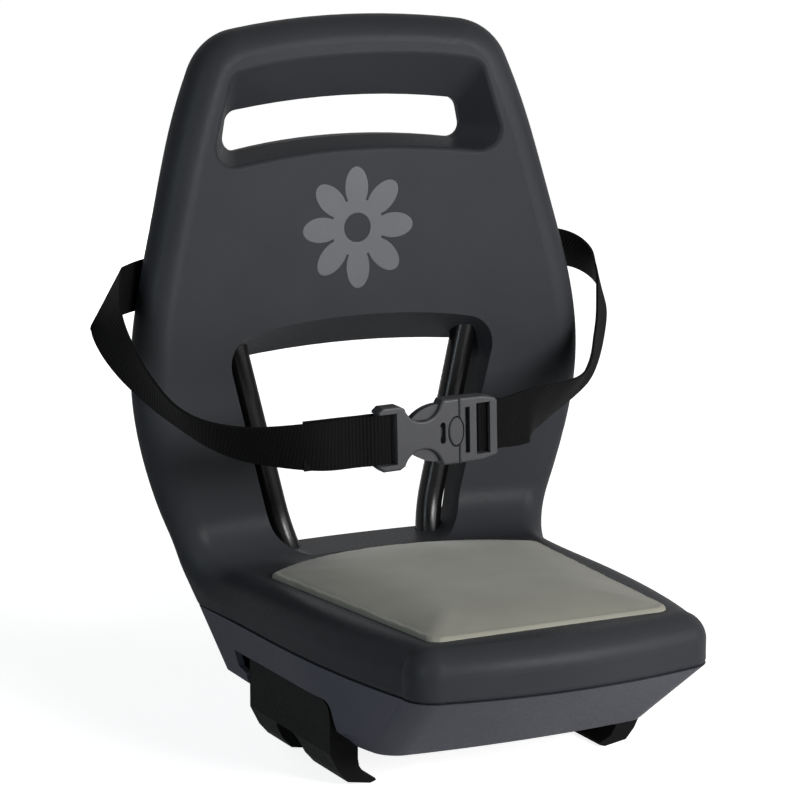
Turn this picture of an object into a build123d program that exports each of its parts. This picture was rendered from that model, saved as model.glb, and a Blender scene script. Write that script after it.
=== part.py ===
"""Child bike seat for a rear carrier: moulded seat and back, base tray, steel frame, claws and hip belt.

Millimetres. X to the right seen from the front, Y to the rear, Z up.
The origin lies on the flat underside of the base, midway between the carrier claws.
"""
from build123d import *
from math import asin, cos, radians, sin, sqrt
import os

os.makedirs("parts", exist_ok=True)

# Moulded seat and back
PARTING = 47.0
SEAT_TOP = 75.0
SEAT_SLOPE = 0.016
SEAT_LEVEL_Y = -12.0
SEAT_JOIN_ROUND = 28.0
SEAT_FRONT = 161.5
BACK_FRONT = 111.4
BACK_LEAN = 0.03
BACK_WRAP = 590.0
BACK_TOP = 401.0
BACK_CORNER = 38.0
FRONT_ROUND = 16.0
REAR_ROUND = 8.0
RIM_ROUND = 3.0
# height, half width of the back, depth of its rear edge
BODY_SECTIONS = (
    (PARTING, 116.0, 111.0),
    (75.0, 126.5, 117.5),
    (105.0, 137.0, 121.5),
    (145.0, 148.5, 123.0),
    (187.0, 153.7, 124.0),
    (235.0, 148.5, 126.5),
    (290.0, 134.5, 131.5),
    (345.0, 118.4, 137.8),
    (BACK_TOP + 9.0, 97.5, 145.0),
)

# Openings of the back: half widths and heights on a front and a rear plane
CUT_FRONT = 102.0
CUT_REAR = 140.0
SLOT_FRONT = (109.6, 309.3, 314.0, 89.6, 386.6, 411.0, 16.0)
SLOT_REAR = (83.6, 319.2, 326.0, 79.3, 345.0, 351.0, 8.0)
WINDOW_FRONT = (61.0, 74.0, 74.0, 95.5, 210.0, 231.0, 22.0)
WINDOW_REAR = (63.0, 74.0, 74.0, 89.5, 190.0, 196.0, 14.0)
OPENING_ROUND = 3.0

# Pad and inlay
PAD_DEPTH = 6.0
PAD_PROUD = 2.2
PAD_FRONT = -131.0
PAD_FRONT_HALF = 78.0
PAD_REAR_HALF = 92.0
PAD_SIDE_REAR = 54.0
PAD_REAR = 88.0
PAD_CORNER = 9.0
PAD_FIT = 0.3
INLAY_HEIGHT = 271.0
INLAY_PETALS = 8
INLAY_PETAL_AT = 25.0
INLAY_PETAL = (13.0, 8.0)
INLAY_HEART = 18.0
INLAY_HOLE = 9.0
INLAY_DEPTH = 2.0

# Base tray
TRAY_WALL = 4.0
TRAY_FLOOR = 4.0
TRAY_KNEE = 9.0
RIM_GAP = 0.1
WINDOW_TOP = 27.2
WINDOW_CORNER = 7.0
NOTCH_X = 61.5
CHANNEL_ROOF = 9.5
ROOF = 3.5
CHANNEL_Y = 28.0
CHANNEL_WIDTH = 18.0
SLOT_WIDTH = 6.8
BASE_SCREWS = ((72.0, -72.0), (-72.0, -72.0), (78.0, 84.0), (-78.0, 84.0))
BOSS = 6.5
SCREW_SHANK = 2.2
SCREW_HEAD = 4.2

# Steel frame
TUBE = 8.0
TUBE_BORE = 6.5
FRAME_HALF = 40.0
FRAME_Z = 34.0
FRAME_FRONT = -92.0
FRAME_REAR = 124.5
FRAME_TOP = 290.0
FRAME_SPREAD = 0.24
FRAME_LEAN = 0.0285
FRAME_BEND = 70.0
FRAME_FIT = 0.25
SADDLES = (-72.0, 0.0)
SADDLE_WIDTH = 14.0
SADDLE_SHEET = 2.0
SADDLE_SCREW = FRAME_HALF + TUBE + SADDLE_SHEET + 4.5
SADDLE_ROW = (-SADDLE_SCREW, 0, SADDLE_SCREW)
SADDLE_HALF = SADDLE_SCREW + 4.5

# Carrier claws
JAW_OUT = 105.2
JAW_IN = 87.0
JAW_FOLD = -5.4
JAW_LOW = -26.0
JAW_TOP = 25.2
JAW_CORNER = 10.0
JAW_FRONT = -55.5
JAW_REAR = 55.0
JAW_NOTCH = (-9.3, 21.0)
TONGUE_Z = 13.3
TONGUE = 8.0
TONGUE_TIP = 40.0
TONGUE_WIDTH = 24.0
BOLT_X = 53.0
JAW_TRAVEL = 25.0
BOLT = 3.0
BOLT_HEX = 5.0

# Hip belt
WEB = 30.0
WEB_THICK = 1.6
BUCKLE_AT = (-3.2, 7.0, 163.9)
BUCKLE_TILT = 1.2
BUCKLE_THICK = 11.0
BUCKLE_HALF = 20.0
ANCHOR_Z = 244.5
ANCHOR_X = 108.0
ANCHOR_REAR = 146.3
ANCHOR_LENGTH = 22.0
ANCHOR_HEIGHT = 52.0
ANCHOR_SHEET = 2.0
ANCHOR_SCREW = 20.5
# strap stations from the back to the buckle: middle and direction across the webbing
LEFT_STRAP = (
    ((-136, 132.5, 245.5), (0, 0, 1)),
    ((-152, 126.5, 244.5), (0.1, 0.05, 1)),
    ((-168, 116.5, 242), (0.3, -0.15, 0.9)),
    ((-176.5, 104, 236), (0.3, -0.55, 0.75)),
    ((-178.5, 94, 227), (0.25, -0.7, 0.65)),
    ((-176.5, 84, 216.5), (0.2, -0.7, 0.7)),
    ((-173, 75, 207.5), (0, -0.65, 0.75)),
    ((-169, 63, 198.5), (-0.2, -0.65, 0.75)),
    ((-164, 52, 190), (-0.3, -0.65, 0.7)),
    ((-158, 41, 182), (-0.4, -0.7, 0.6)),
    ((-149, 29, 174.5), (-0.35, -0.7, 0.6)),
    ((-136.5, 19.5, 169.5), (-0.2, -0.7, 0.7)),
    ((-121, 12.5, 166), (-0.05, -0.6, 0.8)),
    ((-93.5, 7.5, 163.5), (0.05, -0.3, 0.95)),
)
RIGHT_STRAP = (
    ((141, 134.5, 245.5), (0.1, -0.2, 1)),
    ((156, 134, 244), (0.2, -0.6, 0.75)),
    ((166, 132.5, 239), (0.05, -0.85, 0.5)),
    ((171, 129, 234), (-0.25, -0.85, 0.45)),
    ((173, 124.5, 229), (-0.45, -0.75, 0.5)),
    ((173.5, 119.5, 223), (-0.5, -0.65, 0.6)),
    ((171.5, 113, 215), (-0.55, -0.5, 0.7)),
    ((165, 103, 205), (-0.45, -0.45, 0.75)),
    ((156.5, 91, 193), (-0.35, -0.45, 0.8)),
    ((144, 77, 182), (-0.2, -0.4, 0.9)),
    ((132.5, 65.5, 176.5), (0.05, -0.5, 0.85)),
    ((119, 54, 171), (0.25, -0.55, 0.8)),
    ((105.5, 43.5, 169), (0.3, -0.55, 0.8)),
    ((88.5, 32, 168), (0.25, -0.35, 0.9)),
    ((73, 20, 168.5), (0.2, -0.2, 0.95)),
)


def sag(x):
    """Depth by which the wrapped back comes forward at a distance from the middle."""
    return BACK_WRAP - sqrt(BACK_WRAP * BACK_WRAP - x * x)


def seat_z(y):
    """Height of the seat surface at a depth."""
    return SEAT_TOP - SEAT_SLOPE * (y - SEAT_LEVEL_Y)


def body_outline(z, half, rear):
    """Plan outline of the moulding at a height."""
    side = 114 + 0.2 * (half - 116)
    front = SEAT_FRONT - 9
    with BuildSketch(Plane.XY.offset(z)) as plan:
        with BuildLine():
            ThreePointArc((-80, -front), (0, -SEAT_FRONT), (80, -front))
            RadiusArc((80, -front), (97, -131), -19)
            Spline((97, -131), (108.3, -65), (113, 7), (side, 60), (half, rear),
                   tangents=((0.25, 1), (0.04, 1)))
            ThreePointArc((half, rear), (0, rear + sag(half)), (-half, rear))
            Spline((-half, rear), (-side, 60), (-113, 7), (-108.3, -65), (-97, -131),
                   tangents=((0.04, -1), (0.25, -1)))
            RadiusArc((-97, -131), (-80, -front), -19)
        make_face()
    return plan.sketch


def opening_outline(y, sizes):
    """Outline of a back opening on a plane across the depth: bowed below and above, with round corners."""
    low_half, low, low_mid, top_half, top, top_mid, corner = sizes
    with BuildSketch(Plane((0, y, 0), x_dir=(1, 0, 0), z_dir=(0, -1, 0))) as hole:
        with BuildLine():
            if low_mid == low:
                Line((-low_half, low), (low_half, low))
            else:
                ThreePointArc((-low_half, low), (0, low_mid), (low_half, low))
            Line((low_half, low), (top_half, top))
            ThreePointArc((top_half, top), (0, top_mid), (-top_half, top))
            Line((-top_half, top), (-low_half, low))
        make_face()
        fillet(hole.vertices(), corner)
    return hole.sketch


def pad_outline(plane, gap):
    """Outline of the pad or, with no gap, of its recess."""
    front = PAD_FRONT - SEAT_LEVEL_Y
    corner = PAD_SIDE_REAR - SEAT_LEVEL_Y
    with BuildSketch(plane) as pad:
        with BuildLine():
            Polyline((-PAD_REAR_HALF, corner), (-PAD_FRONT_HALF, front), (PAD_FRONT_HALF, front),
                     (PAD_REAR_HALF, corner))
            ThreePointArc((PAD_REAR_HALF, corner), (0, PAD_REAR - SEAT_LEVEL_Y), (-PAD_REAR_HALF, corner))
        make_face()
        fillet(pad.vertices(), PAD_CORNER)
        if gap:
            offset(amount=-gap, mode=Mode.REPLACE)
    return pad.sketch


def tray_outline(z, inset):
    """Plan outline of the raked tray at a height, drawn in by a wall; its sides stand out above the knee."""
    up = z / PARTING
    foot = min(z / TRAY_KNEE, 1)
    rise = max(z - TRAY_KNEE, 0) / (PARTING - TRAY_KNEE)
    points = []
    for low, high in (((76, -91.5), (80, 9 - SEAT_FRONT)), ((90, -77), (97, -131))):
        points.append((low[0] + up * (high[0] - low[0]), low[1] + up * (high[1] - low[1])))
    for low, knee, high in (((93, -52), (103, -55), (108.3, -65)), ((94, 7), (104.5, 7), (113, 7)),
                            ((94, 50), (105, 52), (114, 60)), ((93, 87), (105, 94), (116, 111))):
        points.append([a + foot * (b - a) + rise * (c - b) for a, b, c in zip(low, knee, high)])
    nose = -96 + up * (96 - SEAT_FRONT) + inset
    (ax, ay), (bx, by), (cx, cy), (dx, dy), (ex, ey), (fx, fy) = points
    ax, ay = ax - 0.3 * inset, ay + inset
    bx, by = bx - inset, by + 0.3 * inset
    cx, dx, ex, fx, fy = cx - inset, dx - inset, ex - inset, fx - inset, fy - inset
    tail = fy + sag(fx)
    turn = 19 - inset
    with BuildSketch(Plane.XY.offset(z)) as plan:
        with BuildLine():
            ThreePointArc((-ax, ay), (0, nose), (ax, ay))
            RadiusArc((ax, ay), (bx, by), -turn)
            Spline((bx, by), (cx, cy), (dx, dy), (ex, ey), (fx, fy), tangents=((0.25, 1), (0.04, 1)))
            ThreePointArc((fx, fy), (0, tail), (-fx, fy))
            Spline((-fx, fy), (-ex, ey), (-dx, dy), (-cx, cy), (-bx, by), tangents=((0.04, -1), (0.25, -1)))
            RadiusArc((-bx, by), (-ax, ay), -turn)
        make_face()
        fillet(plan.vertices().sort_by(Axis.Y)[-2:], REAR_ROUND)
    return plan.sketch


def inlay_outline(gap):
    """Flower of round petals about an open heart, on the floor of its recess."""
    floor_y = BACK_FRONT + BACK_LEAN * INLAY_HEIGHT + INLAY_DEPTH
    with BuildSketch(Plane((0, floor_y, INLAY_HEIGHT), x_dir=(1, 0, 0), z_dir=(0, -1, BACK_LEAN))) as mark:
        Circle(INLAY_HEART - gap)
        with PolarLocations(INLAY_PETAL_AT, INLAY_PETALS):
            Ellipse(INLAY_PETAL[0] - gap, INLAY_PETAL[1] - gap)
        Circle(INLAY_HOLE + gap, mode=Mode.SUBTRACT)
    return mark.sketch


def frame_path():
    """Centre line of the bent frame tube, open ends forward."""
    rise = FRAME_TOP - FRAME_Z
    top_half = FRAME_HALF + FRAME_SPREAD * rise
    top_y = FRAME_REAR + FRAME_LEAN * rise
    with BuildLine() as path:
        FilletPolyline((FRAME_HALF, FRAME_FRONT, FRAME_Z), (FRAME_HALF, FRAME_REAR, FRAME_Z),
                       (top_half, top_y, FRAME_TOP), (-top_half, top_y, FRAME_TOP),
                       (-FRAME_HALF, FRAME_REAR, FRAME_Z), (-FRAME_HALF, FRAME_FRONT, FRAME_Z),
                       radius=FRAME_BEND)
    return path.line


def anchor_plane(side):
    """Plane on the rear of the back where a strap end is fastened, X outward along the back."""
    turn = asin(ANCHOR_X / BACK_WRAP)
    depth = ANCHOR_REAR - sag(ANCHOR_X)
    return Plane((side * ANCHOR_X, depth, ANCHOR_Z), x_dir=(side * cos(turn), -sin(turn), 0),
                 z_dir=(side * sin(turn), cos(turn), 0))


def webbing(stations, thick):
    """Sections of a strap: a thin rectangle at each station, across the way to the next one."""
    sections = []
    for k, (at, across) in enumerate(stations):
        before = Vector(stations[max(k - 1, 0)][0])
        after = Vector(stations[min(k + 1, len(stations) - 1)][0])
        with BuildSketch(Plane(at, x_dir=across, z_dir=after - before)) as strip:
            Rectangle(WEB, thick)
        sections.append(strip.sketch)
    return sections


# Room for the rider: everything above the seat and in front of the back
with BuildPart() as rider_room:
    axis_y = BACK_FRONT - BACK_WRAP
    join_y = BACK_FRONT + BACK_LEAN * SEAT_TOP
    with BuildSketch(Plane.YZ) as profile:
        with BuildLine():
            Polyline((axis_y, seat_z(axis_y)), (join_y, seat_z(join_y)), (BACK_FRONT + BACK_LEAN * 480, 480),
                     (axis_y, 480), close=True)
        make_face()
        fillet(profile.vertices().sort_by(Axis.X)[-2:].sort_by(Axis.Y)[0], SEAT_JOIN_ROUND)
    revolve(axis=Axis((0, axis_y, 0), (0, 0, 1)))

# Flared holes of the handle slot and of the back window
with BuildPart() as handle_funnel:
    loft(sections=[opening_outline(CUT_FRONT, SLOT_FRONT), opening_outline(CUT_REAR, SLOT_REAR)], ruled=True)
    extrude(to_extrude=opening_outline(CUT_FRONT, SLOT_FRONT), amount=30)
    extrude(to_extrude=opening_outline(CUT_REAR, SLOT_REAR), amount=-40)
with BuildPart() as window_funnel:
    loft(sections=[opening_outline(CUT_FRONT, WINDOW_FRONT), opening_outline(CUT_REAR, WINDOW_REAR)],
         ruled=True)
    extrude(to_extrude=opening_outline(CUT_FRONT, WINDOW_FRONT), amount=30)
    extrude(to_extrude=opening_outline(CUT_REAR, WINDOW_REAR), amount=-40)

seat_plane = Plane((0, SEAT_LEVEL_Y, SEAT_TOP), x_dir=(1, 0, 0), z_dir=(0, SEAT_SLOPE, 1))

# Seat and back moulding
with BuildPart() as seat_shell:
    loft(sections=[body_outline(*row) for row in BODY_SECTIONS])
    add(rider_room.part, mode=Mode.SUBTRACT)
    with BuildSketch(Plane.XZ) as above:
        with BuildLine():
            ThreePointArc((-140, BACK_TOP - 17), (0, BACK_TOP), (140, BACK_TOP - 17))
            Polyline((140, BACK_TOP - 17), (140, BACK_TOP + 99), (-140, BACK_TOP + 99), (-140, BACK_TOP - 17))
        make_face()
    extrude(amount=400, both=True, mode=Mode.SUBTRACT)
    fillet([e for e in seat_shell.edges() if e.length < 60 and e.center().Z > BACK_TOP - 40], BACK_CORNER)
    turned = [f for f in seat_shell.faces() if f.geom_type in (GeomType.CONE, GeomType.TORUS)]
    inner_faces = [f for f in turned if f.area > 4000]
    fillet([e for e in seat_shell.edges() if sum(e in f.edges() for f in inner_faces) == 1], FRONT_ROUND)
    rear_face = seat_shell.faces().sort_by(lambda f: f.center().Y)[-1]
    fillet([e for e in rear_face.edges() if e.center().Z > PARTING + 1], REAR_ROUND)
    under = seat_shell.faces().sort_by(Axis.Z)[0]
    fillet(under.edges(), RIM_ROUND)
    add(handle_funnel.part, mode=Mode.SUBTRACT)
    add(window_funnel.part, mode=Mode.SUBTRACT)
    cones = [f for f in seat_shell.faces() if f.geom_type == GeomType.CONE]
    back_face = [f for f in cones if f.center().Z > SEAT_TOP + 40]
    fillet([e for f in back_face for w in f.inner_wires() for e in w.edges()], OPENING_ROUND)
    extrude(to_extrude=pad_outline(seat_plane.offset(-PAD_DEPTH), 0), amount=40, mode=Mode.SUBTRACT)
    extrude(to_extrude=inlay_outline(0), amount=12, mode=Mode.SUBTRACT)
    with BuildSketch(Plane((FRAME_HALF, FRAME_FRONT, FRAME_Z), x_dir=(1, 0, 0), z_dir=(0, 1, 0))):
        Circle(TUBE + FRAME_FIT)
    sweep(path=frame_path(), mode=Mode.SUBTRACT)
    with Locations([(x, y, PARTING) for x, y in BASE_SCREWS]):
        Cylinder(SCREW_SHANK + 0.1, 34, mode=Mode.SUBTRACT)
    for side in (1, -1):
        with Locations(anchor_plane(side)):
            with Locations((0, ANCHOR_SCREW), (0, -ANCHOR_SCREW)):
                Cylinder(SCREW_SHANK + 0.1, 28, mode=Mode.SUBTRACT)

# Seat pad, let into the seat
with BuildPart() as seat_pad:
    extrude(to_extrude=pad_outline(seat_plane.offset(0.1 - PAD_DEPTH), PAD_FIT),
            amount=PAD_DEPTH - 0.1 + PAD_PROUD)
    fillet(seat_pad.faces().sort_by(Axis.Z)[-1].edges(), 1.8)

# Inlay of the back, flush with its curved face
with BuildPart() as back_inlay:
    extrude(to_extrude=inlay_outline(0.15), amount=9)
    with Locations((0, 0.05, 0)):
        add(rider_room.part, mode=Mode.SUBTRACT)

# Base tray: raked pan with ribs, bolt channels and screw bosses
with BuildPart() as base_tray:
    loft(sections=[tray_outline(z, 0) for z in (0, TRAY_KNEE, PARTING - RIM_GAP)], ruled=True)
    fillet(base_tray.faces().sort_by(Axis.Z)[0].edges(), 2.5)
    loft(sections=[tray_outline(z, TRAY_WALL) for z in (TRAY_FLOOR, TRAY_KNEE, PARTING + 1)], ruled=True,
         mode=Mode.SUBTRACT)
    for y in SADDLES:
        with Locations((0, y, FRAME_Z / 2 + 1)):
            Box(2 * SADDLE_HALF, 8, FRAME_Z - 2)
    for x in (-FRAME_HALF, FRAME_HALF):
        with BuildSketch(Plane.XZ):
            with Locations((x, FRAME_Z)):
                Circle(TUBE + 0.1)
        extrude(amount=95, both=True, mode=Mode.SUBTRACT)
    for side in (-1, 1):
        for y in (-CHANNEL_Y, CHANNEL_Y):
            with Locations((side * (NOTCH_X + 18) / 2, y, 0)):
                Box(NOTCH_X - 18, CHANNEL_WIDTH + 7, CHANNEL_ROOF + ROOF,
                    align=(Align.CENTER, Align.CENTER, Align.MIN))
            with Locations((side * 40.5, y, -1)):
                Box(39, CHANNEL_WIDTH, CHANNEL_ROOF + 1, align=(Align.CENTER, Align.CENTER, Align.MIN),
                    mode=Mode.SUBTRACT)
            with BuildSketch(Plane.XY):
                with Locations((side * (BOLT_X - JAW_TRAVEL / 2), y)):
                    SlotCenterToCenter(JAW_TRAVEL + 1, SLOT_WIDTH)
            extrude(amount=20, mode=Mode.SUBTRACT)
    with Locations([(x, y, 0) for x, y in BASE_SCREWS]):
        Cylinder(BOSS, PARTING - RIM_GAP, align=(Align.CENTER, Align.CENTER, Align.MIN))
        Cylinder(SCREW_SHANK + 0.2, 120, mode=Mode.SUBTRACT)
        Cylinder(SCREW_HEAD + 0.4, 10, mode=Mode.SUBTRACT)
    with Locations([(x, y, FRAME_Z) for x in SADDLE_ROW for y in SADDLES]):
        Cylinder(1.9, 26, mode=Mode.SUBTRACT)
    for side in (-1, 1):
        with BuildSketch(Plane.YZ.offset(side * NOTCH_X)) as side_window:
            with BuildLine():
                Polyline((JAW_FRONT - 12, -3), (JAW_FRONT - 3, 7), (JAW_FRONT - 2, WINDOW_TOP),
                         (JAW_REAR + 13, WINDOW_TOP), (JAW_REAR + 12, 17), (JAW_REAR + 2.5, 15),
                         (JAW_REAR + 2.5, -8), close=True)
            make_face()
            fillet(side_window.vertices().group_by(Axis.Y)[-1].sort_by(Axis.X)[0], WINDOW_CORNER)
        extrude(amount=side * 80, mode=Mode.SUBTRACT)

# Bent steel frame and its end plugs
with BuildPart() as back_frame:
    with BuildSketch(Plane((FRAME_HALF, FRAME_FRONT, FRAME_Z), x_dir=(1, 0, 0), z_dir=(0, 1, 0))):
        Circle(TUBE)
        Circle(TUBE_BORE, mode=Mode.SUBTRACT)
    sweep(path=frame_path())
with BuildPart() as frame_plugs:
    for x in (-FRAME_HALF, FRAME_HALF):
        with BuildSketch(Plane.XZ.offset(-FRAME_FRONT - 10)):
            with Locations((x, FRAME_Z)):
                Circle(TUBE_BORE - 0.05)
        extrude(amount=10)
        with BuildSketch(Plane.XZ.offset(-FRAME_FRONT)):
            with Locations((x, FRAME_Z)):
                Circle(TUBE)
        extrude(amount=3)


def saddle(y):
    """Sheet strap over both frame tubes."""
    with BuildPart() as clip:
        with BuildSketch(Plane.XZ.offset(-y)):
            with Locations((0, FRAME_Z + SADDLE_SHEET / 2)):
                Rectangle(2 * SADDLE_HALF, SADDLE_SHEET)
            with Locations((-FRAME_HALF, FRAME_Z), (FRAME_HALF, FRAME_Z)):
                Circle(TUBE + 0.15 + SADDLE_SHEET)
                Circle(TUBE + 0.15, mode=Mode.SUBTRACT)
            with Locations((0, FRAME_Z)):
                Rectangle(2 * SADDLE_HALF, 4 * TUBE, align=(Align.CENTER, Align.MAX), mode=Mode.SUBTRACT)
        extrude(amount=SADDLE_WIDTH / 2, both=True)
        with Locations([(x, y, FRAME_Z) for x in SADDLE_ROW]):
            Cylinder(2.1, 20, mode=Mode.SUBTRACT)
    return clip.part


with BuildPart() as frame_saddle_front:
    add(saddle(SADDLES[0]))
with BuildPart() as frame_saddle_rear:
    add(saddle(SADDLES[1]))
with BuildPart() as saddle_screws:
    with Locations([(x, y, FRAME_Z + SADDLE_SHEET) for x in SADDLE_ROW for y in SADDLES]):
        Cylinder(3.6, 2.4, align=(Align.CENTER, Align.CENTER, Align.MIN))
        Cylinder(1.8, 13, align=(Align.CENTER, Align.CENTER, Align.MAX))
with BuildPart() as base_screws:
    with Locations([(x, y, 0) for x, y in BASE_SCREWS]):
        with Locations((0, 0, 1.8)):
            Cylinder(SCREW_HEAD, 3.2, align=(Align.CENTER, Align.CENTER, Align.MIN))
            Cylinder(SCREW_SHANK, 60, align=(Align.CENTER, Align.CENTER, Align.MIN))
            Cylinder(1.6, 1.4, align=(Align.CENTER, Align.CENTER, Align.MIN), mode=Mode.SUBTRACT)

# Carrier claw with two tongues that run on the tray floor
with BuildPart() as jaw_right:
    with BuildSketch(Plane.XZ.offset(-JAW_REAR)):
        with BuildLine():
            Polyline((JAW_OUT, JAW_TOP), (JAW_OUT, JAW_FOLD), (JAW_OUT - 5.9, JAW_LOW + 9),
                     (JAW_OUT - 11.7, JAW_LOW + 2.4), (JAW_IN - 8.1, JAW_LOW), (JAW_IN - 11.7, JAW_LOW + 1.2),
                     (JAW_IN - 11.2, JAW_LOW + 2.6), (JAW_IN - 4.4, JAW_LOW + 5.9),
                     (JAW_IN - 0.8, JAW_LOW + 11.3), (JAW_IN, JAW_LOW + 16), (JAW_IN, JAW_TOP), close=True)
        make_face()
    extrude(amount=JAW_REAR - JAW_FRONT)
    fillet(jaw_right.edges().filter_by(Axis.X).group_by(Axis.Z)[-1].sort_by(Axis.Y)[0], JAW_CORNER)
    with BuildSketch(Plane.YZ.offset(JAW_IN - 30)) as gap:
        with BuildLine():
            Polyline((JAW_NOTCH[0], JAW_LOW - 5), (JAW_NOTCH[0], JAW_FOLD), (JAW_NOTCH[1], JAW_FOLD),
                     (JAW_NOTCH[1], JAW_LOW - 5), close=True)
        make_face()
        fillet(gap.vertices().sort_by(Axis.Y)[-2:], 6)
    extrude(amount=60, mode=Mode.SUBTRACT)
    with BuildSketch(Plane.XY.offset(JAW_FOLD + 4)):
        with Locations(((JAW_IN + JAW_OUT) / 2, (JAW_FRONT + JAW_REAR) / 2)):
            Rectangle(JAW_OUT - JAW_IN - 8, JAW_REAR - JAW_FRONT - 8)
    extrude(amount=60, mode=Mode.SUBTRACT)
    for y in (-CHANNEL_Y, CHANNEL_Y):
        with Locations(((TONGUE_TIP + JAW_IN + 1) / 2, y, TONGUE_Z)):
            Box(JAW_IN + 1 - TONGUE_TIP, TONGUE_WIDTH, TONGUE, align=(Align.CENTER, Align.CENTER, Align.MIN))
        with Locations((BOLT_X, y, TONGUE_Z)):
            Cylinder(BOLT + 0.2, 30, mode=Mode.SUBTRACT)
        with BuildSketch(Plane.XY.offset(TONGUE_Z + 3)):
            with Locations((BOLT_X, y)):
                RegularPolygon(BOLT_HEX + 0.15, 6, major_radius=False)
        extrude(amount=20, mode=Mode.SUBTRACT)
with BuildPart() as jaw_bolts_right:
    for y in (-CHANNEL_Y, CHANNEL_Y):
        with BuildSketch(Plane.XY.offset(CHANNEL_ROOF - 5.4)):
            with Locations((BOLT_X, y)):
                RegularPolygon(BOLT_HEX, 6, major_radius=False)
        extrude(amount=4)
        with Locations((BOLT_X, y, CHANNEL_ROOF - 3)):
            Cylinder(BOLT, TONGUE_Z + TONGUE - CHANNEL_ROOF + 3,
                     align=(Align.CENTER, Align.CENTER, Align.MIN))
with BuildPart() as jaw_washers_right:
    with Locations([(BOLT_X, y, CHANNEL_ROOF - 1.4) for y in (-CHANNEL_Y, CHANNEL_Y)]):
        Cylinder(6, 1.1, align=(Align.CENTER, Align.CENTER, Align.MIN))
        Cylinder(BOLT + 0.2, 10, mode=Mode.SUBTRACT)
with BuildPart() as jaw_nuts_right:
    for y in (-CHANNEL_Y, CHANNEL_Y):
        with BuildSketch(Plane.XY.offset(TONGUE_Z + 3.05)):
            with Locations((BOLT_X, y)):
                RegularPolygon(BOLT_HEX, 6, major_radius=False)
                Circle(BOLT + 0.05, mode=Mode.SUBTRACT)
        extrude(amount=4.9)
with BuildPart() as jaw_left:
    mirror(jaw_right.part, about=Plane.YZ)
with BuildPart() as jaw_bolts_left:
    mirror(jaw_bolts_right.part, about=Plane.YZ)
with BuildPart() as jaw_washers_left:
    mirror(jaw_washers_right.part, about=Plane.YZ)
with BuildPart() as jaw_nuts_left:
    mirror(jaw_nuts_right.part, about=Plane.YZ)

# Strap anchors behind the back
with BuildPart() as anchor_plate_right:
    with BuildSketch(anchor_plane(1).offset(0.2)) as plate:
        Rectangle(ANCHOR_LENGTH, ANCHOR_HEIGHT)
        fillet(plate.vertices(), 4)
        with Locations((0, ANCHOR_SCREW), (0, -ANCHOR_SCREW)):
            Circle(SCREW_SHANK + 0.2, mode=Mode.SUBTRACT)
    extrude(amount=WEB_THICK + 0.3 + ANCHOR_SHEET)
    with BuildSketch(anchor_plane(1)):
        Rectangle(ANCHOR_LENGTH + 2, WEB + 1)
    extrude(amount=WEB_THICK + 0.5, mode=Mode.SUBTRACT)
with BuildPart() as anchor_plate_left:
    mirror(anchor_plate_right.part, about=Plane.YZ)
with BuildPart() as anchor_screws:
    for side in (1, -1):
        with Locations(anchor_plane(side).offset(0.2 + WEB_THICK + 0.3 + ANCHOR_SHEET)):
            with Locations((0, ANCHOR_SCREW), (0, -ANCHOR_SCREW)):
                Cylinder(4, 2.6, align=(Align.CENTER, Align.CENTER, Align.MIN))
                Cylinder(SCREW_SHANK, 16, align=(Align.CENTER, Align.CENTER, Align.MAX))

# Hip belt: two straps, each folded round a bar of its buckle half
buckle_plane = Plane(BUCKLE_AT, x_dir=(cos(radians(BUCKLE_TILT)), 0, sin(radians(BUCKLE_TILT))),
                     z_dir=(0, -1, 0))
BUCKLE_UP = tuple(buckle_plane.y_dir)


def on_anchor(side, x):
    """Strap station on the anchor, a distance outward along the back."""
    at = anchor_plane(side).from_local_coords(Vector(x, 0, 0.35 + WEB_THICK / 2))
    return (tuple(at), (0, 0, 1))


def at_buckle(x, depth):
    """Strap station beside the buckle."""
    return (tuple(buckle_plane.from_local_coords(Vector(x, 0, depth))), BUCKLE_UP)


def fold(ends, nose, mid, half, bar_half, length):
    """Side outline of webbing folded round a buckle bar."""
    joint, start = ends
    way = 1 if nose > start else -1
    flat = Plane(buckle_plane.origin, x_dir=buckle_plane.x_dir, z_dir=buckle_plane.y_dir)
    with BuildSketch(flat) as loop:
        with BuildLine():
            Polyline((nose, -mid + half), (start, -mid + half), (joint, -mid + WEB_THICK),
                     (joint, -mid - WEB_THICK), (start, -mid - half), (nose, -mid - half))
            ThreePointArc((nose, -mid - half), (nose + way * half, -mid), (nose, -mid + half))
        make_face()
        with BuildLine():
            Polyline((nose, -mid + bar_half), (start, -mid + bar_half), (start - way * 4, -mid),
                     (start, -mid - bar_half), (nose, -mid - bar_half))
            ThreePointArc((nose, -mid - bar_half), (nose + way * bar_half, -mid), (nose, -mid + bar_half))
        make_face(mode=Mode.SUBTRACT)
    return extrude(loop.sketch, amount=length / 2, both=True)


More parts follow.
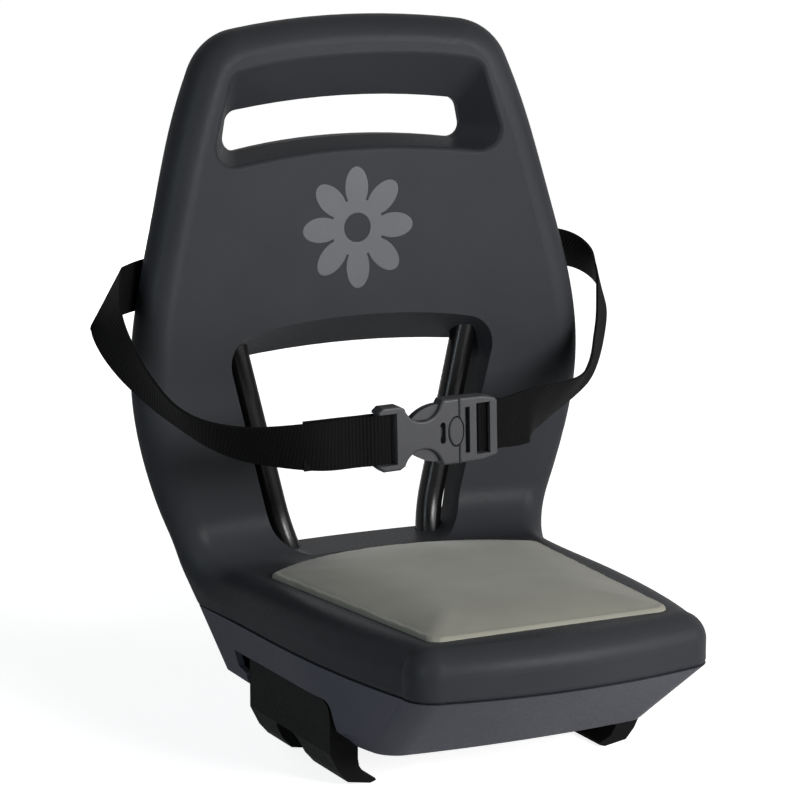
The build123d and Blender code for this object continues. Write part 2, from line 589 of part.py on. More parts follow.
with BuildPart() as strap_left:
    loft(sections=webbing([on_anchor(-1, -12), on_anchor(-1, 13)], WEB_THICK))
    loft(sections=webbing([on_anchor(-1, 13), on_anchor(-1, 18), *LEFT_STRAP, at_buckle(-74, 0.8),
                           at_buckle(-54, 1.1), at_buckle(-51, 0.8)], WEB_THICK))
    loft(sections=webbing([at_buckle(-87, -2.7), at_buckle(-75, -2), at_buckle(-54, -1.1),
                           at_buckle(-51, -0.8)], WEB_THICK))
    add(fold((-52, -44), -34.2, 0, 4.0, 2.4, WEB))
with BuildPart() as strap_right:
    loft(sections=webbing([on_anchor(1, -12), on_anchor(1, 13)], WEB_THICK))
    loft(sections=webbing([on_anchor(1, 13), on_anchor(1, 18), *RIGHT_STRAP, at_buckle(66, -4.6),
                           at_buckle(51, -0.4)], WEB_THICK))
    loft(sections=webbing([at_buckle(68, -9.2), at_buckle(60, -5.2), at_buckle(54, -3.3),
                           at_buckle(51, -1.9)], WEB_THICK))
    add(fold((52, 44), 28.3, -1.2, 3.2, 1.6, WEB))

# Side-release buckle with a centre lock button
RECEIVER_LEFT = -41.0
RECEIVER_RIGHT = 12.6
CLIP_RIGHT = 38.0
HALF_THICK = BUCKLE_THICK / 2
CAVITY = 3.0
PRONG = 2.7
BUTTON_X = 10.4
BUTTON_RADII = (4.7, 8.6)
BUTTON_TRAVEL = 1.5


def receiver_outline(plane):
    """Front outline of the receiver: strap ears, two scallops and a full-width mouth."""
    with BuildSketch(plane) as outline:
        with BuildLine():
            for way in (1, -1):
                Polyline((RECEIVER_LEFT, 0), (RECEIVER_LEFT, 17 * way), (RECEIVER_LEFT + 3, 19.5 * way),
                         (-27, 19.5 * way), (-23.5, 17.5 * way))
                ThreePointArc((-23.5, 17.5 * way), (-12.5, 8.6 * way), (0.5, 17.5 * way))
                Polyline((0.5, 17.5 * way), (2, BUCKLE_HALF * way), (RECEIVER_RIGHT, BUCKLE_HALF * way),
                         (RECEIVER_RIGHT, 0))
        make_face()
    return outline.sketch


with BuildPart() as buckle_receiver:
    extrude(to_extrude=receiver_outline(buckle_plane), amount=HALF_THICK, both=True)
    flats = buckle_receiver.faces().sort_by(Axis.Y)
    fillet(flats[0].edges() + flats[-1].edges(), 1.4)
    with Locations(buckle_plane):
        with Locations((-31.5, 0, 0)):
            Box(5, WEB + 1.2, 20, mode=Mode.SUBTRACT)
        for way in (1, -1):
            with Locations((-37, 0, way * (2.2 + 5))):
                Box(16, WEB + 1.2, 10, mode=Mode.SUBTRACT)
        with Locations((RECEIVER_RIGHT - 17, 0, 0)):
            Box(34.3, 35, 2 * CAVITY, mode=Mode.SUBTRACT)
        with Locations((-11.2, 0, 0)):
            Box(23, 60, 2 * CAVITY, mode=Mode.SUBTRACT)
    with BuildSketch(buckle_plane.offset(CAVITY - 1)):
        with Locations((BUTTON_X, 0)):
            Ellipse(BUTTON_RADII[0] + 0.8, BUTTON_RADII[1] + 0.8)
        with Locations((1.5, 0)):
            SlotOverall(13, 3.6, rotation=90)
    extrude(amount=10, mode=Mode.SUBTRACT)
with BuildPart() as buckle_clip:
    with BuildSketch(buckle_plane) as block:
        with BuildLine():
            Polyline((RECEIVER_RIGHT + 0.2, -BUCKLE_HALF), (RECEIVER_RIGHT + 0.2, BUCKLE_HALF),
                     (29, BUCKLE_HALF - 0.4), (CLIP_RIGHT, 17.5), (CLIP_RIGHT, -17.5),
                     (29, 0.4 - BUCKLE_HALF), close=True)
        make_face()
        fillet(block.vertices().sort_by(Axis.X)[-2:], 2.5)
    extrude(amount=HALF_THICK - 0.3, both=True)
    flats = buckle_clip.faces().sort_by(Axis.Y)
    fillet(flats[0].edges() + flats[-1].edges(), 1.2)
    with Locations(buckle_plane):
        with Locations((34.2, 0, 0)):
            Box(20, WEB + 1.2, 20, mode=Mode.SUBTRACT)
        with Locations((18.2, 0, 6)):
            Box(3.2, WEB - 2, 10, mode=Mode.SUBTRACT)
        with Locations((31.8, 0, -1.2)):
            Box(6.4, WEB + 4, 2.8)
        with Locations((35.7, 0, 3.8)):
            Box(4.6, WEB + 3, 3.0)
        with Locations((0.5, 0, 0)):
            Box(31, 6, 2 * (PRONG - 0.3))
        for way in (1, -1):
            with Locations((7, way * 13, 0)):
                Box(19, 3.6, 2 * PRONG)
    for way in (1, -1):
        with BuildSketch(buckle_plane):
            with BuildLine():
                Polyline((-18.1, 10.5 * way), (-18.1, 9 * way), (0.9, 9 * way), (0.9, 17.4 * way))
                ThreePointArc((0.9, 17.4 * way), (-10, 15.6 * way), (-18.1, 10.5 * way))
            make_face()
        extrude(amount=PRONG, both=True)
    with BuildSketch(buckle_plane.offset(PRONG - 0.3)):
        with Locations((BUTTON_X, 0)):
            Ellipse(BUTTON_RADII[0] + 0.8, BUTTON_RADII[1] + 0.8)
    extrude(amount=10, mode=Mode.SUBTRACT)
with BuildPart() as buckle_button:
    with BuildSketch(buckle_plane.offset(PRONG + BUTTON_TRAVEL)):
        with Locations((BUTTON_X, 0)):
            Ellipse(*BUTTON_RADII)
    extrude(amount=HALF_THICK - PRONG - BUTTON_TRAVEL + 0.4)
    chamfer(buckle_button.faces().sort_by(Axis.Y)[0].edges(), 0.5)

PIECES = {
    "seat_shell": seat_shell,
    "seat_pad": seat_pad,
    "back_inlay": back_inlay,
    "base_tray": base_tray,
    "back_frame": back_frame,
    "frame_plugs": frame_plugs,
    "frame_saddle_front": frame_saddle_front,
    "frame_saddle_rear": frame_saddle_rear,
    "saddle_screws": saddle_screws,
    "base_screws": base_screws,
    "jaw_left": jaw_left,
    "jaw_right": jaw_right,
    "jaw_bolts_left": jaw_bolts_left,
    "jaw_bolts_right": jaw_bolts_right,
    "jaw_washers_left": jaw_washers_left,
    "jaw_washers_right": jaw_washers_right,
    "jaw_nuts_left": jaw_nuts_left,
    "jaw_nuts_right": jaw_nuts_right,
    "anchor_plate_left": anchor_plate_left,
    "anchor_plate_right": anchor_plate_right,
    "anchor_screws": anchor_screws,
    "strap_left": strap_left,
    "strap_right": strap_right,
    "buckle_receiver": buckle_receiver,
    "buckle_clip": buckle_clip,
    "buckle_button": buckle_button,
}
for name, piece in PIECES.items():
    piece.part.label = name
    export_step(piece.part, f"parts/{name}.step")
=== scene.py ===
"""Dresses the child bike seat: moulded shell, foam pad, hip belt, buckle, frame, claws and a plain studio."""
import math

import bpy
from bpy.props import FloatProperty, FloatVectorProperty, PointerProperty
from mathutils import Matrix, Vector


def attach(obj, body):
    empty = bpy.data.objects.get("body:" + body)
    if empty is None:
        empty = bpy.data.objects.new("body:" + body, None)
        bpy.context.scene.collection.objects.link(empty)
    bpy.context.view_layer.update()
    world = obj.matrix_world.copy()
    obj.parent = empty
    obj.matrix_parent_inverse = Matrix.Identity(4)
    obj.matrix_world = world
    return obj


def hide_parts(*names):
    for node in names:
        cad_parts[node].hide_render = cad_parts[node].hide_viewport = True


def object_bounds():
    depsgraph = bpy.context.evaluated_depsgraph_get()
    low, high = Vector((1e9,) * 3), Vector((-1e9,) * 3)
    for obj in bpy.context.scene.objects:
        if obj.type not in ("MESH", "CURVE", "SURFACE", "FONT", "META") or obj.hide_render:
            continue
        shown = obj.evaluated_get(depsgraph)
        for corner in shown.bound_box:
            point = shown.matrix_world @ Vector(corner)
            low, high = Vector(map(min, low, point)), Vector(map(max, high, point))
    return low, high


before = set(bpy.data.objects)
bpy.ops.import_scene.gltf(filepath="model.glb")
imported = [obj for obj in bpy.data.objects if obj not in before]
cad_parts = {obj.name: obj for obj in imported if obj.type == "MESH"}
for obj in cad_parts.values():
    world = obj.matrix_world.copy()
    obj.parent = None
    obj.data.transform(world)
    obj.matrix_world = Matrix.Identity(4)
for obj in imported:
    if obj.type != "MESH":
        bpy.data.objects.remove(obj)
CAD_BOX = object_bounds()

bl_info = {
    "name": "Child Bike Seat",
    "version": (1, 0, 0),
    "blender": (4, 5, 0),
    "location": "View3D > Sidebar > Bike Seat",
    "description": "Dresses a rear-carrier child seat with its plastics, foam pad, webbing and studio",
    "category": "Object",
}

MM = 0.001

# Sizes of the finishes' patterns; pores and orange peel are finer on the real surfaces and are drawn this
# coarse so that they show
FLOW_CLOUD = 55.56 * MM
FOAM_CLOUD = 40.0 * MM
FOAM_PORE = 1.111 * MM
ORANGE_PEEL = 2.381 * MM
ZINC_CLOUD = 3.846 * MM
PLASTIC_IOR = 1.49
WELD = 0.01 * MM


def linear(code):
    """Linear RGB of an sRGB hex colour."""
    parts = [int(code[k:k + 2], 16) / 255 for k in (0, 2, 4)]
    return tuple(c / 12.92 if c <= 0.04045 else ((c + 0.055) / 1.055) ** 2.4 for c in parts)


class PlasticLook(bpy.types.PropertyGroup):
    """Colours and grain of the moulded plastics; the real grain is finer and is drawn this coarse to show."""

    shell: FloatVectorProperty(name="Shell", description="Charcoal of the seat and back", subtype="COLOR",
                               size=3, min=0, max=1, default=linear("353639"))
    tray: FloatVectorProperty(name="Base", description="Blue-grey of the base tray", subtype="COLOR",
                              size=3, min=0, max=1, default=linear("4a4b54"))
    inlay: FloatVectorProperty(name="Inlay", description="Mid grey of the flower on the back",
                               subtype="COLOR", size=3, min=0, max=1, default=linear("57585c"))
    claw: FloatVectorProperty(name="Claws", description="Black of the carrier claws", subtype="COLOR",
                              size=3, min=0, max=1, default=linear("121213"))
    buckle: FloatVectorProperty(name="Buckle", description="Dark grey of the buckle halves", subtype="COLOR",
                                size=3, min=0, max=1, default=linear("434345"))
    grain: FloatProperty(name="Grain", description="Spacing of the moulded grain", subtype="DISTANCE",
                         unit="LENGTH", min=0.0002, max=0.01, default=1.2 * MM)


class PadLook(bpy.types.PropertyGroup):
    """Colour and crown of the foam pad."""

    colour: FloatVectorProperty(name="Foam", description="Warm grey of the pad", subtype="COLOR",
                                size=3, min=0, max=1, default=linear("979589"))
    crown: FloatProperty(name="Crown", description="Rise of the moulded pad from its rim to its middle",
                         subtype="DISTANCE", unit="LENGTH", min=0, max=0.01, default=6.0 * MM)
    swell: FloatProperty(name="Swell", description="Most that the foam swells beyond its mould",
                         subtype="DISTANCE", unit="LENGTH", min=0, max=0.01, default=1.2 * MM)
    step: FloatProperty(name="Mesh Step", description="Mesh step of the foam", subtype="DISTANCE",
                        unit="LENGTH", min=0.001, max=0.01, default=3.0 * MM)


class BeltLook(bpy.types.PropertyGroup):
    """Webbing of the hip belt."""

    colour: FloatVectorProperty(name="Webbing", description="Black of the belt", subtype="COLOR",
                                size=3, min=0, max=1, default=linear("080809"))
    width: FloatProperty(name="Width", description="Width of the webbing", subtype="DISTANCE", unit="LENGTH",
                         min=0.01, max=0.06, default=30.0 * MM)
    thick: FloatProperty(name="Thickness", description="Thickness of the webbing", subtype="DISTANCE",
                         unit="LENGTH", min=0.0005, max=0.004, default=1.5 * MM)
    rib: FloatProperty(name="Rib", description="Spacing of the cross ribs", subtype="DISTANCE", unit="LENGTH",
                       min=0.0005, max=0.005, default=2.3 * MM)


class SteelLook(bpy.types.PropertyGroup):
    """Paint of the frame and plating of the small hardware."""

    paint: FloatVectorProperty(name="Frame", description="Black coat of the tubes", subtype="COLOR",
                               size=3, min=0, max=1, default=linear("0c0c0d"))
    zinc: FloatVectorProperty(name="Zinc", description="Plating of screws, bolts and saddles",
                              subtype="COLOR", size=3, min=0, max=1, default=linear("a9abad"))


class StudioLook(bpy.types.PropertyGroup):
    """Light and floor of the studio."""

    floor: FloatVectorProperty(name="Floor", description="Pale floor", subtype="COLOR",
                               size=3, min=0, max=1, default=linear("dedede"))
    key: FloatProperty(name="Key", description="Power of the key lamp", subtype="POWER", unit="POWER",
                       min=0, max=500, default=17)
    side: FloatProperty(name="Side", description="Power of the lamp at the right", subtype="POWER",
                        unit="POWER", min=0, max=500, default=5)
    strip: FloatProperty(name="Strip", description="Power of the narrow lamp beside the camera",
                         subtype="POWER", unit="POWER", min=0, max=500, default=10)
    rear: FloatProperty(name="Rear", description="Power of the lamp behind", subtype="POWER", unit="POWER",
                        min=0, max=500, default=22)
    cool: FloatVectorProperty(name="Cool", description="Cool tint of the narrow lamp", subtype="COLOR",
                              size=3, min=0, max=1, default=(0.78, 0.92, 1.0))
    ambient: FloatProperty(name="Ambient", description="Level of the surrounding light on surfaces",
                           min=0, max=2, default=0.017)
    glow: FloatProperty(name="Paper White", description="White that the camera sees in the paper",
                        min=0, max=1, default=0.84)


def add_node(tree, kind, inputs=None, **settings):
    """Add one shader node with its settings, socket values and links, a link as (node, output)."""
    node = tree.nodes.new(kind)
    for name, value in settings.items():
        setattr(node, name, value)
    for socket, value in (inputs or {}).items():
        if isinstance(value, tuple) and isinstance(value[0], bpy.types.Node):
            tree.links.new(value[0].outputs[value[1]], node.inputs[socket])
        else:
            node.inputs[socket].default_value = value
    return node


def start_material(name):
    """New material with its Principled shader, on Object coordinates."""
    material = bpy.data.materials.new(name)
    material.use_nodes = True
    tree = material.node_tree
    shader = tree.nodes["Principled BSDF"]
    where = add_node(tree, "ShaderNodeTexCoord")
    return material, tree, shader, where


def seen(tree, share):
    """One for the camera, a share of that in reflections and through glass, and nought for other light."""
    path = add_node(tree, "ShaderNodeLightPath")
    through = add_node(tree, "ShaderNodeMath", {0: (path, "Is Glossy Ray"), 1: (path, "Is Transmission Ray")},
                       operation="MAXIMUM")
    return add_node(tree, "ShaderNodeMath", {0: (through, "Value"), 1: share, 2: (path, "Is Camera Ray")},
                    operation="MULTIPLY_ADD")


def moulded_plastic(name, colour, grain, roughness, specular, depth):
    """Thermoplastic moulded in a spark-eroded tool: a matt, very fine pebble with faint flow clouds."""
    material, tree, shader, where = start_material(name)
    cloud = add_node(tree, "ShaderNodeTexNoise", {"Vector": (where, "Object"), "Scale": 1 / FLOW_CLOUD,
                                                  "Detail": 3.0})
    tone = add_node(tree, "ShaderNodeValToRGB", {"Fac": (cloud, "Fac")})
    for stop, place, share in zip(tone.color_ramp.elements, (0.3, 0.7), (0.93, 1.07)):
        stop.position = place
        stop.color = (*[share * c for c in colour], 1)
    pebble = add_node(tree, "ShaderNodeTexVoronoi", {"Vector": (where, "Object"), "Scale": 1 / grain},
                      feature="SMOOTH_F1")
    dust = add_node(tree, "ShaderNodeTexNoise", {"Vector": (where, "Object"), "Scale": 0.6 / grain,
                                                 "Detail": 4.0})
    gloss = add_node(tree, "ShaderNodeMapRange", {"Value": (dust, "Fac"), "From Min": 0.3, "From Max": 0.7,
                                                  "To Min": roughness - 0.05, "To Max": roughness + 0.06})
    relief = add_node(tree, "ShaderNodeBump", {"Height": (pebble, "Distance"), "Strength": depth,
                                               "Distance": 0.15 * grain})
    tree.links.new(tone.outputs["Color"], shader.inputs["Base Color"])
    tree.links.new(gloss.outputs["Result"], shader.inputs["Roughness"])
    tree.links.new(relief.outputs["Normal"], shader.inputs["Normal"])
    shader.inputs["IOR"].default_value = PLASTIC_IOR
    shader.inputs["Specular IOR Level"].default_value = specular
    return material


def foam_skin(colour):
    """Closed-cell EVA foam pressed in a mould: a dry, soft skin with fine pores and a faint bloom."""
    material, tree, shader, where = start_material("EVA foam, moulded skin")
    cloud = add_node(tree, "ShaderNodeTexNoise", {"Vector": (where, "Object"), "Scale": 1 / FOAM_CLOUD,
                                                  "Detail": 4.0})
    tone = add_node(tree, "ShaderNodeValToRGB", {"Fac": (cloud, "Fac")})
    for stop, place, share in zip(tone.color_ramp.elements, (0.3, 0.7), (0.94, 1.06)):
        stop.position = place
        stop.color = (*[share * c for c in colour], 1)
    pores = add_node(tree, "ShaderNodeTexNoise", {"Vector": (where, "Object"), "Scale": 1 / FOAM_PORE,
                                                  "Detail": 3.0})
    relief = add_node(tree, "ShaderNodeBump", {"Height": (pores, "Fac"), "Strength": 0.25,
                                               "Distance": 0.2 * MM})
    tree.links.new(tone.outputs["Color"], shader.inputs["Base Color"])
    tree.links.new(relief.outputs["Normal"], shader.inputs["Normal"])
    shader.inputs["Roughness"].default_value = 0.72
    shader.inputs["Specular IOR Level"].default_value = 0.12
    shader.inputs["Sheen Weight"].default_value = 0.15
    shader.inputs["Sheen Roughness"].default_value = 0.5
    return material


def belt_webbing(colour, rib):
    """Polypropylene webbing, plain woven: cross ribs of weft under a tight warp."""
    material, tree, shader, where = start_material("Polypropylene webbing, woven")
    split = add_node(tree, "ShaderNodeSeparateXYZ", {"Vector": (where, "UV")})
    turns = add_node(tree, "ShaderNodeMath", {0: (split, "X"), 1: 2 * math.pi / rib}, operation="MULTIPLY")
    ribs = add_node(tree, "ShaderNodeMath", {0: (turns, "Value")}, operation="SINE")
    across = add_node(tree, "ShaderNodeMath", {0: (split, "Y"), 1: 2 * math.pi / (0.7 * rib)},
                      operation="MULTIPLY")
    threads = add_node(tree, "ShaderNodeMath", {0: (across, "Value")}, operation="SINE")
    weave = add_node(tree, "ShaderNodeMath", {0: (threads, "Value"), 1: 0.25, 2: (ribs, "Value")},
                     operation="MULTIPLY_ADD")
    # Painted shade and highlight: the colour follows the rib height, so the hollows between ribs are painted
    # darker and the crests painted lighter
    painted_rib_shading = add_node(tree, "ShaderNodeMapRange", {"Value": (weave, "Value"), "From Min": -1.2,
                                                  "From Max": 1.2, "To Min": 0.0, "To Max": 1.0})
    tone = add_node(tree, "ShaderNodeValToRGB", {"Fac": (painted_rib_shading, "Result")})
    for stop, share in zip(tone.color_ramp.elements, (0.45, 1.5)):
        stop.color = (*[share * c for c in colour], 1)
    relief = add_node(tree, "ShaderNodeBump", {"Height": (weave, "Value"), "Strength": 0.8,
                                               "Distance": 0.12 * MM})
    tree.links.new(tone.outputs["Color"], shader.inputs["Base Color"])
    tree.links.new(relief.outputs["Normal"], shader.inputs["Normal"])
    shader.inputs["Roughness"].default_value = 0.62
    shader.inputs["Specular IOR Level"].default_value = 0.07
    return material


def powder_coat(colour):
    """Gloss black powder coat on drawn steel tube: a deep reflection broken by slight orange peel."""
    material, tree, shader, where = start_material("Powder coat on steel tube")
    peel = add_node(tree, "ShaderNodeTexNoise", {"Vector": (where, "Object"), "Scale": 1 / ORANGE_PEEL,
                                                 "Detail": 2.0})
    relief = add_node(tree, "ShaderNodeBump", {"Height": (peel, "Fac"), "Strength": 0.12,
                                               "Distance": 0.2 * MM})
    dull = add_node(tree, "ShaderNodeMapRange", {"Value": (peel, "Fac"), "To Min": 0.2, "To Max": 0.3})
    tree.links.new(relief.outputs["Normal"], shader.inputs["Normal"])
    tree.links.new(dull.outputs["Result"], shader.inputs["Roughness"])
    shader.inputs["Base Color"].default_value = (*colour, 1)
    shader.inputs["Specular IOR Level"].default_value = 0.3
    return material


def zinc_plate(colour):
    """Steel, zinc plated and clear passivated: a greyish metal with a cloudy, drawn finish."""
    material, tree, shader, where = start_material("Steel, zinc plated")
    cloud = add_node(tree, "ShaderNodeTexNoise", {"Vector": (where, "Object"), "Scale": 1 / ZINC_CLOUD,
                                                  "Detail": 5.0})
    tone = add_node(tree, "ShaderNodeValToRGB", {"Fac": (cloud, "Fac")})
    for stop, share in zip(tone.color_ramp.elements, (0.8, 1.0)):
        stop.color = (*[share * c for c in colour], 1)
    dull = add_node(tree, "ShaderNodeMapRange", {"Value": (cloud, "Fac"), "To Min": 0.28, "To Max": 0.46})
    tree.links.new(tone.outputs["Color"], shader.inputs["Base Color"])
    tree.links.new(dull.outputs["Result"], shader.inputs["Roughness"])
    shader.inputs["Metallic"].default_value = 1.0
    return material


def only(piece):
    """Leave just this piece selected and active."""
    bpy.ops.object.select_all(action="DESELECT")
    piece.select_set(True)
    bpy.context.view_layer.objects.active = piece


def wear(piece, material):
    """Give a piece or a node its one finish."""
    piece.data.materials.clear()
    piece.data.materials.append(material)


def merged_copy(node, name):
    """A piece that starts as a node's own shape, with its facets joined up."""
    piece = bpy.data.objects.new(name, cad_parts[node].data.copy())
    bpy.context.scene.collection.objects.link(piece)
    only(piece)
    bpy.ops.object.mode_set(mode="EDIT")
    bpy.ops.mesh.select_all(action="SELECT")
    bpy.ops.mesh.remove_doubles(threshold=WELD)
    bpy.ops.mesh.customdata_custom_splitnormals_clear()
    bpy.ops.object.mode_set(mode="OBJECT")
    return piece


def apply_modifier(piece, kind, **settings):
    """Add a modifier with its settings and apply it."""
    only(piece)
    modifier = piece.modifiers.new(kind.title(), kind)
    for name, value in settings.items():
        setattr(modifier, name, value)
    bpy.ops.object.modifier_apply(modifier=modifier.name)


class BIKESEAT_OT_shell(bpy.types.Operator):
    """Finish the seat and back moulding with its grain"""

    bl_idname = "bike_seat.shell"
    bl_label = "Shell"

    def execute(self, context):
        look = context.scene.plastic_look
        material = moulded_plastic("Polypropylene shell, grained", look.shell, look.grain,
                                   roughness=0.4, specular=0.07, depth=0.15)
        wear(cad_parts["seat_shell"], material)
        return {"FINISHED"}


class BIKESEAT_OT_inlay(bpy.types.Operator):
    """Colour the flower let into the back"""

    bl_idname = "bike_seat.inlay"
    bl_label = "Inlay"

    def execute(self, context):
        look = context.scene.plastic_look
        material = moulded_plastic("Polypropylene inlay, smooth", look.inlay, look.grain,
                                   roughness=0.42, specular=0.3, depth=0.08)
        wear(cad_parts["back_inlay"], material)
        return {"FINISHED"}


class BIKESEAT_OT_tray(bpy.types.Operator):
    """Finish the base tray"""

    bl_idname = "bike_seat.tray"
    bl_label = "Base Tray"

    def execute(self, context):
        look = context.scene.plastic_look
        material = moulded_plastic("Polypropylene tray, satin", look.tray, look.grain,
                                   roughness=0.4, specular=0.1, depth=0.15)
        wear(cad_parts["base_tray"], material)
        return {"FINISHED"}


# Slope of the pad's border from its rim inward: share of the outline kept and share of the crown risen
PAD_STEPS = ((0.89, 0.52), (0.88, 0.33), (0.86, 0.15))
# Facets within this angle are one flat face
FLAT_ANGLE = math.radians(1)
# Foam that faces less upward than this is held by the recess while the rest swells
HELD_BELOW = 0.9
PRESSURE = 3.0
CLOTH_FRAMES = 20
# Height above the foot of the crown within which the rim keeps to the pattern
RIM_BAND = 0.5 * MM


def top_height(piece, up):
    """Height of a piece's highest point along a direction."""
    return max(v.co.dot(up) for v in piece.data.vertices)


class BIKESEAT_OT_pad(bpy.types.Operator):
    """Model the foam pad, swollen in its recess"""

    bl_idname = "bike_seat.pad"
    bl_label = "Foam Pad"

    def execute(self, context):
        look = context.scene.pad_look
        pad = merged_copy("seat_pad", "foam_pad")
        bpy.ops.object.mode_set(mode="EDIT")
        bpy.ops.mesh.select_all(action="SELECT")
        bpy.ops.mesh.dissolve_limited(angle_limit=FLAT_ANGLE)
        bpy.ops.mesh.select_all(action="DESELECT")
        bpy.ops.mesh.select_mode(type="FACE")
        bpy.ops.object.mode_set(mode="OBJECT")
        top = max(pad.data.polygons, key=lambda face: face.area * face.normal.z)
        top.select = True
        middle, up = top.center.copy(), top.normal.copy()
        bpy.ops.object.mode_set(mode="EDIT")
        for share, rise in PAD_STEPS:
            bpy.ops.mesh.extrude_region_move(TRANSFORM_OT_translate={"value": up * rise * look.crown})
            bpy.ops.transform.resize(value=(share, share, share), center_override=middle)
            middle += up * rise * look.crown
        bpy.ops.object.mode_set(mode="OBJECT")
        pattern = pad.copy()
        pattern.data = pad.data.copy()
        context.scene.collection.objects.link(pattern)
        apply_modifier(pad, "REMESH", mode="VOXEL", voxel_size=look.step)
        rest = [v.co.copy() for v in pad.data.vertices]
        held = pad.vertex_groups.new(name="held in the recess")
        held.add([v.index for v in pad.data.vertices if v.normal.z < HELD_BELOW], 1.0, "REPLACE")
        only(pad)
        swell = pad.modifiers.new("Swell", "CLOTH")
        swell.settings.use_pressure = True
        swell.settings.uniform_pressure_force = PRESSURE
        swell.settings.effector_weights.gravity = 0.0
        swell.settings.vertex_group_mass = held.name
        swell.point_cache.frame_end = CLOTH_FRAMES
        for k in range(1, CLOTH_FRAMES + 1):
            context.scene.frame_set(k)
        bpy.ops.object.modifier_apply(modifier=swell.name)
        for v, home in zip(pad.data.vertices, rest):
            rise = v.co - home
            if rise.length > 0:
                v.co = home + rise.normalized() * look.swell * math.tanh(rise.length / look.swell)
        context.scene.frame_set(1)
        only(pad)
        bpy.ops.object.mode_set(mode="EDIT")
        bpy.ops.mesh.select_all(action="SELECT")
        bpy.ops.mesh.vertices_smooth(factor=0.5, repeat=3)
        bpy.ops.object.mode_set(mode="OBJECT")
        apply_modifier(pad, "SUBSURF", levels=1, render_levels=1)
        rim = pad.vertex_groups.new(name="rim")
        foot = top_height(pattern, up) - look.crown
        rim.add([v.index for v in pad.data.vertices if v.co.dot(up) < foot + RIM_BAND], 1.0, "REPLACE")
        apply_modifier(pad, "SHRINKWRAP", target=pattern, vertex_group=rim.name)
        bpy.data.objects.remove(pattern)
        only(pad)
        bpy.ops.object.shade_smooth()
        wear(pad, foam_skin(look.colour))
        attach(pad, "seat")
        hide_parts("seat_pad")
        return {"FINISHED"}


# Anchor of a strap on the curved back and middle of the buckle, in mm in the part's frame
ANCHOR = (108.0, 136.33, 244.5)
BACK_RADIUS = 590.0
ANCHOR_TURN = math.asin(ANCHOR[0] / BACK_RADIUS)
BUCKLE = (-3.2, 7.0, 163.9)
BUCKLE_TILT = math.radians(1.2)
# Stations under the anchor plate, outward from its middle, and how far the webbing lies off the back, in mm
ANCHOR_RUN = (-12, 0, 13, 18)
ANCHOR_LIFT = 1.15
# Strap stations from the back to the buckle: middle in mm, direction across and a crease's slanting length
LEFT_STRAP = (
    ((-136, 132.5, 246), (0, 0, 1)),
    ((-168.7, 116.5, 242.3), (0.61, 0.4, 0.68), 44.7),
    ((-170.8, 113.6, 241.4), (0.61, 0.36, 0.7), 44.0),
    ((-178, 98, 232), (0.3, -0.55, 0.65)),
    ((-177.5, 87, 220), (0.2, -0.7, 0.7)),
    ((-173, 75, 207.5), (0, -0.65, 0.75)),
    ((-169, 63, 198.5), (-0.2, -0.65, 0.75)),
    ((-164, 52, 190), (-0.3, -0.65, 0.7)),
    ((-158, 41, 182), (-0.4, -0.7, 0.6)),
    ((-149, 29, 174.5), (-0.35, -0.7, 0.6)),
    ((-136.5, 19.5, 169.5), (-0.2, -0.7, 0.7)),
    ((-121, 12.5, 166), (-0.05, -0.6, 0.8)),
    ((-93.5, 7.5, 163.5), (0.05, -0.3, 0.95)),
)
RIGHT_STRAP = (
    ((141, 134.5, 245.5), (0.1, -0.2, 1)),
    ((156, 134, 244), (0.2, -0.6, 0.75)),
    ((166, 132.5, 239), (0.05, -0.85, 0.5)),
    ((171, 129, 234), (-0.25, -0.85, 0.45)),
    ((173, 124.5, 229), (-0.45, -0.75, 0.5)),
    ((173.5, 119.5, 223), (-0.5, -0.65, 0.6)),
    ((171.5, 113, 215), (-0.55, -0.5, 0.7)),
    ((165, 103, 205), (-0.45, -0.45, 0.75)),
    ((156.5, 91, 193), (-0.35, -0.45, 0.8)),
    ((144, 77, 182), (-0.2, -0.4, 0.9)),
    ((132.5, 65.5, 176.5), (0.05, -0.5, 0.85)),
    ((119, 54, 171), (0.25, -0.55, 0.8)),
    ((105.5, 43.5, 169), (0.3, -0.55, 0.8)),
    ((88.5, 32, 168), (0.25, -0.35, 0.9)),
    ((73, 20, 168.5), (0.2, -0.2, 0.95)),
)
# Stations at the buckle in mm: along it, in front of it and, where the strap sags or lifts, above its middle
LEFT_IN = ((-74, 0.8), (-60, 0.8), (-51, 1.0), (-45, 2.8), (-39, 3.2))
LEFT_TAIL = ((-39, -3.2), (-45, -2.8, 0.4), (-51, -0.9, 0.7), (-62, -1.1, 1.0), (-75, -1.5, 1.0),
             (-87, -2.3, 1.0))
RIGHT_IN = ((66, -4.6, 3.0), (58, -2.2, 2.0), (51, -0.2, 1.0), (45, 0.9, 0.5), (38, 1.2))
RIGHT_TAIL = ((38, -3.6), (45, -3.3, -0.4), (51, -2.4, -0.8), (56, -4.0, -1.2), (62, -6.2, -1.4),
              (68, -9.2, -1.5))
# Turn round a bar: where it starts along the buckle, its middle in front, its radius and which way it goes
LEFT_BAR = (-34.2, 0.0, 3.2, 1)
RIGHT_BAR = (28.3, -1.2, 2.4, -1)
BAR_STEPS = 8
# Each strap: its name, its node, its side of the back and its stations in order
STRAPS = (
    ("webbing_left", "strap_left", -1, LEFT_STRAP, LEFT_IN, LEFT_BAR, LEFT_TAIL),
    ("webbing_right", "strap_right", 1, RIGHT_STRAP, RIGHT_IN, RIGHT_BAR, RIGHT_TAIL),
)
STRAP_COLUMNS = 6
STRAP_LEVELS = 3
SOFT_EDGE = math.radians(50)


def on_anchor(side, x):
    """Strap station under its anchor plate, a distance outward along the back."""
    cosine, sine = math.cos(ANCHOR_TURN), math.sin(ANCHOR_TURN)
    out = Vector((side * cosine, -sine, 0)) * x
    away = Vector((side * sine, cosine, 0)) * ANCHOR_LIFT
    return (Vector((side * ANCHOR[0], ANCHOR[1], ANCHOR[2])) + out + away, Vector((0, 0, 1)))


